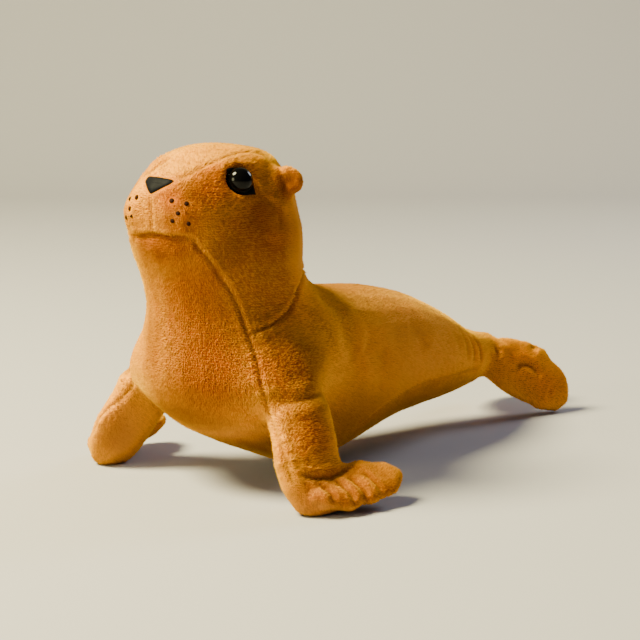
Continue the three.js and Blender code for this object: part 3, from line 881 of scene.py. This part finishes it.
# ---------------------------------------------------------------- operators
class OBJECT_OT_plush_skin(bpy.types.Operator):
    """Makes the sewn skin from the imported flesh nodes"""

    bl_idname = "object.plush_skin"
    bl_label = "Sew the skin"

    def execute(self, context):
        settings = context.scene.plush
        points, faces, _ = joined(FLESH_NODES, grow=True)
        skin = mesh_object("plush_skin", points, faces)
        remesh = skin.modifiers.new("remesh", "REMESH")
        remesh.mode = "VOXEL"
        remesh.voxel_size = settings.voxel
        remesh.use_smooth_shade = True
        depsgraph = context.evaluated_depsgraph_get()
        mesh = bpy.data.meshes.new_from_object(skin.evaluated_get(depsgraph))
        skin.modifiers.clear()
        skin.data = mesh
        self.drop_islands(mesh)
        self.ease(mesh, settings)
        self.carve(mesh)
        skin.data.materials.append(plush_material(settings, "minky_ground", tufts=False))
        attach(skin, BODY)
        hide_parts(*FLESH_NODES)
        return {"FINISHED"}

    def drop_islands(self, mesh):
        """Keeps the largest connected shell."""
        shape = bmesh.new()
        shape.from_mesh(mesh)
        seen = set()
        shells = []
        for start in shape.verts:
            if start in seen:
                continue
            shell, waiting = [], [start]
            seen.add(start)
            while waiting:
                vertex = waiting.pop()
                shell.append(vertex)
                for edge in vertex.link_edges:
                    other = edge.other_vert(vertex)
                    if other not in seen:
                        seen.add(other)
                        waiting.append(other)
            shells.append(shell)
        shells.sort(key=len)
        for shell in shells[:-1]:
            bmesh.ops.delete(shape, geom=shell, context="VERTS")
        shape.to_mesh(mesh)
        shape.free()

    def ease(self, mesh, settings):
        """Rounds off the solids' facets, then sets the skin one pile depth inside them."""
        edges = edges_of(mesh)
        wanted, wanted_faces, _ = joined(FLESH_NODES)
        solids = BVHTree.FromPolygons(wanted.tolist(), visible_faces(wanted, wanted_faces).tolist())
        points, normals = corners_of(mesh), normals_of(mesh)
        depth = (settings.pile * pile_share(points))[:, None]
        inset = points - normals * (depth + FIRST_INSET * MM)
        set_corners(mesh, averaged(inset, edges, EASE_FIRST))
        for rounds in EASE_FITS:
            points, normals = corners_of(mesh), normals_of(mesh)
            depth = settings.pile * pile_share(points)
            wrong = averaged(self.outside_by(points, normals, solids) + depth, edges, rounds)[:, 0]
            # A hollow where two pieces meet is left partly filled, as cloth bridges it.
            wrong = np.where(wrong > 0, HOLLOWED * wrong, wrong)
            set_corners(mesh, points - normals * wrong[:, None])
        set_corners(mesh, averaged(corners_of(mesh), edges, EASE_LAST))

    def outside_by(self, points, normals, solids):
        """How far each point of the skin is outside the solids. It is below 0 inside them."""
        offset = np.empty(len(points))
        for i, p in enumerate(points):
            hit, _, _, away = solids.find_nearest(Vector(p))
            outside = (Vector(p) - hit).dot(Vector(normals[i])) > 0
            offset[i] = away if outside else -away
        return offset

    def carve(self, mesh):
        """Presses in the seams and creases, lifts the stuffing's lumps and marks the pile."""
        points, normals = corners_of(mesh), normals_of(mesh)
        push, dark = seam_profile(points, tree_of(mesh), all_lines())
        for apart, height in LUMPS:
            lumps = [noise.noise(Vector(p) / (apart * MM)) for p in points]
            push += np.array(lumps) * height * MM
        points = points + normals * push[:, None]
        points[:, 2] = np.maximum(points[:, 2], SKIN_CLEARS * MM)
        set_corners(mesh, points)
        panels = panels_at(points)
        write_values(mesh, "nap", patches_at(points, panels, WARM_NAP_AND_SHADE))
        # Laid nap, and the painted cool cast of the shaded trunk, belly and flippers.
        write_values(mesh, "laid", patches_at(points, panels, LAID_AND_SHADED))
        # The dark marks: painted shade in the grooves, and dark nap and painted shade in patches.
        write_values(mesh, "seam", np.maximum(dark, patches_at(points, panels, DARK_NAP_AND_SHADE)))
        write_values(mesh, "ruffle", patches_at(points, panels, RUFFLE_AND_SHADE))


class OBJECT_OT_plush_eyes(bpy.types.Operator):
    """Sets the two domed eyes"""

    bl_idname = "object.plush_eyes"
    bl_label = "Set the eyes"

    def execute(self, context):
        material = eye_material()
        for side, sign in (("left", 1), ("right", -1)):
            node = f"eye_{side}"
            low, high = (np.array(c[:]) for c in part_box(node))
            radius = float((high - low).max() / 2) * EYE_GROWS
            mesh = self.dome(f"dome_{side}", radius)
            looks = Vector((EYE_LOOKS[0], sign * EYE_LOOKS[1], EYE_LOOKS[2]))
            made = bpy.data.objects.new(f"eye_dome_{side}", mesh)
            turn = looks.to_track_quat("Z", "Y").to_matrix().to_4x4()
            mesh.transform(Matrix.Translation(Vector((low + high) / 2)) @ turn)
            context.scene.collection.objects.link(made)
            mesh.materials.append(material)
            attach(made, BODY)
            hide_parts(node)
        return {"FINISHED"}

    def dome(self, name, radius):
        """A closed dome around +Z, from the rings of its profile."""
        shape = bmesh.new()
        angles = np.linspace(0, 2 * math.pi, EYE_SIDES, endpoint=False)
        rings = [[shape.verts.new((radius * out * math.cos(a), radius * out * math.sin(a), radius * up))
                  for a in angles] for out, up in self.profile()]
        for inner, outer in zip(rings, rings[1:]):
            for i in range(EYE_SIDES):
                j = (i + 1) % EYE_SIDES
                shape.faces.new((inner[i], outer[i], outer[j], inner[j]))
        shape.faces.new(rings[0])
        shape.faces.new(rings[-1][::-1])
        mesh = bpy.data.meshes.new(name)
        shape.to_mesh(mesh)
        shape.free()
        mesh.shade_smooth()
        return mesh

    def profile(self):
        """From the crown of the dome to its rolled rim and back, as shares of the radius."""
        dome = [(math.sin(a), math.cos(a)) for a in np.linspace(0.06, 1.35, 26)]
        rim = [(0.985 + 0.03 * math.sin(a), 0.14 + 0.05 * math.cos(a)) for a in np.linspace(0.2, 2.9, 9)]
        underside = [(0.9, -0.02), (0.55, -0.25), (0.3, -0.3)]
        return [*dome, *rim, *underside]


class OBJECT_OT_plush_stitching(bpy.types.Operator):
    """Stitches the nose, the eye backings and the whisker spots onto the skin"""

    bl_idname = "object.plush_stitching"
    bl_label = "Stitch the face"

    def execute(self, context):
        satin = thread_material("satin_stitch", 0x050508, 0x0E0F16, roughness=0.6)
        backing = thread_material("backing_stitch", 0x080808, 0x141416, roughness=0.8)
        brown = thread_material("brown_stitch", 0x180A06, 0x30160C, roughness=0.7)
        cloth = tree_of(bpy.data.objects["plush_skin"].data)
        self.patch("stitched_nose", "nose", cloth, NOSE_STITCH, satin)
        for side in ("left", "right"):
            self.patch(f"eye_backing_{side}", f"eye_patch_{side}", cloth, BACKING_STITCH, backing)
            for i in range(1, SPOTS + 1):
                name = f"whisker_spot_{side}_{i}"
                self.patch(f"stitched_spot_{side}_{i}", name, cloth, SPOT_STITCH, brown)
        return {"FINISHED"}

    def patch(self, name, node, cloth, stitch, material):
        """A padded patch of satin stitch with a node's outline, laid on the skin."""
        points, _, _ = node_arrays(node)
        middle = points.mean(0)
        across, along, out = np.linalg.svd(points - middle, full_matrices=False)[2]
        under, up, _, _ = cloth.find_nearest(Vector(middle))
        if out @ np.array(up[:]) < 0:
            out = -out
        along = np.cross(out, across)
        flat = np.stack([(points - middle) @ across, (points - middle) @ along], axis=1)
        around, rings = stitch.around, stitch.rings
        angles = np.arange(around) / around * 2 * math.pi
        reach = self.outline(flat, angles) * stitch.spread
        if name.startswith("stitched_spot"):
            reach = np.full(around, reach.min())
        verts, faces = [], []
        for ring in range(1, rings + 1):
            share = ring / rings
            lift = stitch.height * (1 - share**5) - STITCH_TUCK * share**8
            for angle, far in zip(angles, reach):
                x, y = share * far * math.cos(angle), share * far * math.sin(angle)
                ridge = THREAD_RIDGE * abs(math.sin(math.pi * y / (stitch.thread * MM))) * (1 - share**6)
                at, normal, _, _ = cloth.find_nearest(Vector(middle + across * x + along * y))
                verts.append(at + normal * (lift + ridge) * MM)
        top = len(verts)
        verts.append(under + up * stitch.height * MM)
        verts.append(under - up * STITCH_DEPTH * MM)
        for i in range(around):
            j = (i + 1) % around
            faces.append((top, i, j))
            for ring in range(rings - 1):
                a, b = ring * around, (ring + 1) * around
                faces.append((a + i, b + i, b + j, a + j))
            last = (rings - 1) * around
            faces.append((last + j, last + i, top + 1))
        mesh = bpy.data.meshes.new(name)
        mesh.from_pydata(verts, [], faces)
        mesh.shade_smooth()
        made = bpy.data.objects.new(name, mesh)
        bpy.context.scene.collection.objects.link(made)
        mesh.materials.append(material)
        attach(made, BODY)
        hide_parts(node)

    def outline(self, flat, angles):
        """How far the outline of some flat points reaches at each angle."""
        ways = np.stack([np.cos(angles), np.sin(angles)], axis=1)
        support = (flat @ ways.T).max(0)
        turned = np.cos(angles[:, None] - angles[None])
        steepest = 0.02
        reach = support[None] / np.maximum(turned, steepest)
        return np.where(turned > steepest, reach, np.inf).min(1)


class OBJECT_OT_plush_coat(bpy.types.Operator):
    """Plants the pile over the skin, in tufts that lie along the nap"""

    bl_idname = "object.plush_coat"
    bl_label = "Plant the pile"

    def execute(self, context):
        settings = context.scene.plush
        rng = np.random.default_rng(SEED)
        roots = self.roots_on(bpy.data.objects["plush_skin"].data, settings, rng)
        material = plush_material(settings, "minky_pile", tufts=True)
        for name, charts in COAT_PIECES.items():
            mine = np.where(np.isin(roots.owners, [CHARTS.index(chart) for chart in charts]))[0]
            if len(mine) > MOST_TUFTS:
                mine = np.sort(rng.permutation(mine)[:MOST_TUFTS])
            self.plant(name, Roots(*(part[mine] for part in roots)), settings, rng, material)
        return {"FINISHED"}

    def roots_on(self, skin, settings, rng):
        """Roots strewn over the skin's faces, in as many layers as each face's chart has. None is
        on the floor or under an eye, the nose or a whisker spot."""
        points, normals = corners_of(skin), normals_of(skin)
        marks = np.stack([read_values(skin, name) for name in MARKS], axis=-1)
        quads = np.array([list(f.vertices)[:4] for f in skin.polygons if len(f.vertices) >= 4])
        owners = self.owners_of(points[quads].mean(axis=1))
        layers = layers_of(settings)[owners]
        parts = [[], [], [], []]
        for layer in range(layers.max()):
            dense = layers > layer
            four = quads[dense]
            mix = rng.dirichlet(np.ones(4), len(four)) * STREWN + (1 - STREWN) / 4
            for part, values in zip(parts, (points, normals, marks)):
                part.append((values[four] * mix[..., None]).sum(1))
            parts[3].append(owners[dense])
        root, up, marks, owners = (np.concatenate(part) for part in parts)
        up /= np.linalg.norm(up, axis=1, keepdims=True)
        room = self.room_at(root)
        keep = (room > 0) & (root[:, 2] > ROOT_CLEARS * MM)
        return Roots(*(part[keep] for part in (root, up, marks, owners, room)))

    def room_at(self, root):
        """How much room there is for pile beside the eyes, nose and whisker spots, from 0 under a
        piece or against it to 1 where it is clear of them all."""
        room = np.ones(len(root))
        for piece in bpy.data.objects:
            if not piece.name.startswith(FACE_PIECES):
                continue
            points = corners_of(piece.data)
            low, high = points.min(0) - ROOM * MM, points.max(0) + ROOM * MM
            tree = tree_of(piece.data)
            for i in np.where(((root > low) & (root < high)).all(axis=1))[0]:
                hit, normal, _, away = tree.find_nearest(Vector(root[i]))
                inside = (Vector(root[i]) - hit).dot(normal) < 0
                free = 0 if inside or away < NO_ROOM * MM else away / (ROOM * MM)
                room[i] = min(room[i], free)
        return room

    def owners_of(self, middles):
        """The chart that each face of the skin belongs to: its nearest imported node, split where a
        node is long or bent."""
        points, faces, names = joined(FLESH_NODES)
        tree = BVHTree.FromPolygons(points.tolist(), faces.tolist())
        middle_of = {name: (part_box(name)[0][0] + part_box(name)[1][0]) / 2 for name in BODY_NODES}
        owners = []
        for middle in middles:
            name = names[tree.find_nearest(Vector(middle))[2]]
            if name in SPLIT_NODES and middle[0] > middle_of[name]:
                name += "_back"
            if name.startswith("fore_flipper") and middle[2] < PADDLE_TOP * MM:
                name = name.replace("flipper", "paddle")
            owners.append(CHARTS.index(name))
        return np.array(owners)

    def plant(self, name, roots, settings, rng, material):
        """One coat piece: a three-sided tuft at each root."""
        nap, laid, seam, ruffle = roots.marks.T
        up, count = roots.up, len(roots.up)
        flow = NAP_WAY - up * (up @ NAP_WAY)[:, None]
        flow += rng.normal(0, STRAY, (count, 3))
        flow -= up * (flow * up).sum(1)[:, None]
        flow /= np.maximum(np.linalg.norm(flow, axis=1, keepdims=True), 1e-9)
        clump = clump_at(roots.at)
        room = np.clip(roots.room, SHORTEST, 1)
        # How deep the painted shade between the clumps is: deeper where ruffled, lighter where stroked
        # smooth.
        contrast = np.clip(CONTRAST + RUFFLED * ruffle, *CONTRAST_RANGE)
        length = settings.pile * pile_share(roots.at) * (TALLEST - DIP * contrast * (1 - clump))
        length *= rng.uniform(*UNEVEN, count)
        length *= (1 - SEAM_AND_SHADE_SHORTENS * seam) * room
        half = settings.tuft * 0.5 * np.sqrt(settings.layers / layers_of(settings)[roots.owners])
        half *= rng.uniform(*UNEVEN, count)
        lean = settings.lean * rng.uniform(*LEANS, count) * room
        lean *= 1 - RUFFLE_LIFTS * np.clip(ruffle, 0, 1)
        tip = roots.at + up * length[:, None] + flow * (length * lean)[:, None]
        base = roots.at - up * TUFT_ROOT * MM
        across = np.cross(up, flow)
        corners = np.empty((count, 4, 3))
        for corner, angle in enumerate((0, 2 * math.pi / 3, 4 * math.pi / 3)):
            turn = flow * math.cos(angle) + across * math.sin(angle)
            corners[:, corner] = base + turn * half[:, None]
        corners[:, 3] = tip
        corners[..., 2] = np.maximum(corners[..., 2], PILE_CLEARS * MM)
        start = np.arange(count)[:, None] * 4
        sides = [start + np.array(f) for f in ((0, 1, 3), (1, 2, 3), (2, 0, 3), (2, 1, 0))]
        faces = np.stack(sides, axis=1).reshape(-1, 3)
        made = mesh_object(name, corners.reshape(-1, 3), faces)
        mesh = made.data
        # Painted shade: tufts in the clumps' dips are darker, and so is every tuft's root.
        shade = 1 - contrast * (1 - clump * rng.uniform(*SHADES, count))
        shade = np.repeat(shade[:, None], 4, axis=1)
        shade[:, :3] *= 1 - ROOT_SHADE * contrast[:, None]
        write_values(mesh, "nap", np.repeat(nap, 4))
        write_values(mesh, "laid", np.repeat(laid, 4))
        write_values(mesh, "seam", np.repeat(seam, 4))
        write_values(mesh, "tuft", shade.ravel())
        self.soften(mesh, up, faces)
        self.unwrap(mesh, roots, faces)
        mesh.materials.append(material)
        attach(made, BODY)

    def soften(self, mesh, up, faces):
        """Turns each tuft's shading most of the way to the cloth's, as thousands of fibres do."""
        mixed = (1 - SOFTENED) * normals_of(mesh) + SOFTENED * np.repeat(up, 4, axis=0)
        mixed /= np.linalg.norm(mixed, axis=1, keepdims=True)
        mesh.normals_split_custom_set(mixed[faces.ravel()].tolist())

    def unwrap(self, mesh, roots, faces):
        """Puts each tuft's patch at its root's place on an unwrap of the skin. Each chart is rolled
        out around its own long axis, and a piece's charts lie side by side."""
        place_on_map = np.empty((len(roots.at), 2))
        charts = np.unique(roots.owners)
        for column, chart in enumerate(charts):
            mine = np.where(roots.owners == chart)[0]
            centred = roots.at[mine] - roots.at[mine].mean(0)
            some = centred[:: max(1, len(mine) // AXIS_SAMPLES)]
            along, one, two = (centred @ axis for axis in np.linalg.svd(some, full_matrices=False)[2])
            around = np.arctan2(two, one) / (2 * math.pi) + 0.5
            place_on_map[mine, 0] = (column + MAP_EDGE + (1 - 2 * MAP_EDGE) * around) / len(charts)
            far = (along - along.min()) / np.ptp(along)
            place_on_map[mine, 1] = MAP_EDGE + (1 - 2 * MAP_EDGE) * far
        patch = np.array([(-0.5, -0.5), (0.5, -0.5), (0, -0.1), (0, 0.5)]) * MAP_PATCH
        uv = (place_on_map[:, None, :] + patch[None]).reshape(-1, 2)
        layer = mesh.uv_layers.new(name="OFBake")
        layer.data.foreach_set("uv", uv[faces.ravel()].astype(np.float32).ravel())


class OBJECT_OT_plush_stage(bpy.types.Operator):
    """Lays the floor, hangs the lights and sets the camera"""

    bl_idname = "object.plush_stage"
    bl_label = "Set the stage"

    def execute(self, context):
        self.floor()
        self.lights(context)
        self.camera(context)
        return {"FINISHED"}

    def floor(self):
        """Paper that runs away from the camera and bends up behind the toy."""
        reach, back, height, bend = PAPER["reach"], PAPER["back"], PAPER["height"], PAPER["bend"]
        rows = [(-reach, 0.0), (back, 0.0)]
        for i in range(1, PAPER["steps"] + 1):
            angle = i / PAPER["steps"] * math.pi / 2
            rows.append((back + bend * math.sin(angle), bend * (1 - math.cos(angle))))
        rows.append((back + bend, height))
        points = []
        to_camera = way_to_camera()
        for along, up in rows:
            for across in (-reach, reach):
                x = -to_camera.x * along + to_camera.y * across
                y = -to_camera.y * along - to_camera.x * across
                points.append((x, y, up))
        faces = [(2 * i, 2 * i + 1, 2 * i + 3, 2 * i + 2) for i in range(len(rows) - 1)]
        sweep = mesh_object("backdrop", points, faces)
        sweep.data.materials.append(paper_material())

    def lights(self, context):
        world = bpy.data.worlds.new("studio")
        world.use_nodes = True
        sky = world.node_tree.nodes["Background"]
        sky.inputs["Color"].default_value = linear(SKY)
        sky.inputs["Strength"].default_value = SKY_STRENGTH
        context.scene.world = world
        for lamp in LAMPS:
            data = bpy.data.lights.new(lamp.name, "AREA")
            data.shape = "DISK"
            data.size = lamp.size
            data.energy = lamp.power
            data.color = linear(lamp.colour)[:3]
            made = bpy.data.objects.new(lamp.name, data)
            made.location = lamp.at
            made.visible_camera = False
            aim = Vector(LAMPS_AIM) - Vector(lamp.at)
            made.rotation_mode = "QUATERNION"
            made.rotation_quaternion = aim.to_track_quat("-Z", "Y")
            context.scene.collection.objects.link(made)

    def camera(self, context):
        back = way_to_camera()
        data = bpy.data.cameras.new("camera")
        data.sensor_width = CAMERA["sensor"]
        data.lens = CAMERA["lens"]
        made = bpy.data.objects.new("camera", data)
        made.location = Vector(place(CAMERA["aim"])) + back * CAMERA["distance"] * MM
        made.rotation_mode = "QUATERNION"
        made.rotation_quaternion = (-back).to_track_quat("-Z", "Y")
        context.scene.collection.objects.link(made)
        context.scene.camera = made


def way_to_camera():
    """The way from the camera's aim to the camera."""
    azimuth, elevation = math.radians(CAMERA["azimuth"]), math.radians(CAMERA["elevation"])
    level = math.cos(elevation)
    return Vector((math.sin(azimuth) * level, -math.cos(azimuth) * level, math.sin(elevation)))


# ---------------------------------------------------------------- panel and registration
class VIEW3D_PT_plush(bpy.types.Panel):
    """Lists the steps that make the toy"""

    bl_label = "Plush sea lion"
    bl_space_type = "VIEW_3D"
    bl_region_type = "UI"
    bl_category = "Plush"

    def draw(self, context):
        for name in PlushSettings.__annotations__:
            self.layout.prop(context.scene.plush, name)
        for step in STEPS:
            self.layout.operator(step.bl_idname)


STEPS = (
    OBJECT_OT_plush_skin,
    OBJECT_OT_plush_eyes,
    OBJECT_OT_plush_stitching,
    OBJECT_OT_plush_coat,
    OBJECT_OT_plush_stage,
)
CLASSES = (PlushSettings, *STEPS, VIEW3D_PT_plush)


def register():
    for kind in CLASSES:
        bpy.utils.register_class(kind)
    bpy.types.Scene.plush = PointerProperty(type=PlushSettings)


def unregister():
    del bpy.types.Scene.plush
    for kind in reversed(CLASSES):
        bpy.utils.unregister_class(kind)


def main():
    register()
    bpy.ops.object.plush_skin()
    bpy.ops.object.plush_eyes()
    bpy.ops.object.plush_stitching()
    bpy.ops.object.plush_coat()
    bpy.ops.object.plush_stage()


if __name__ == "__main__":
    main()
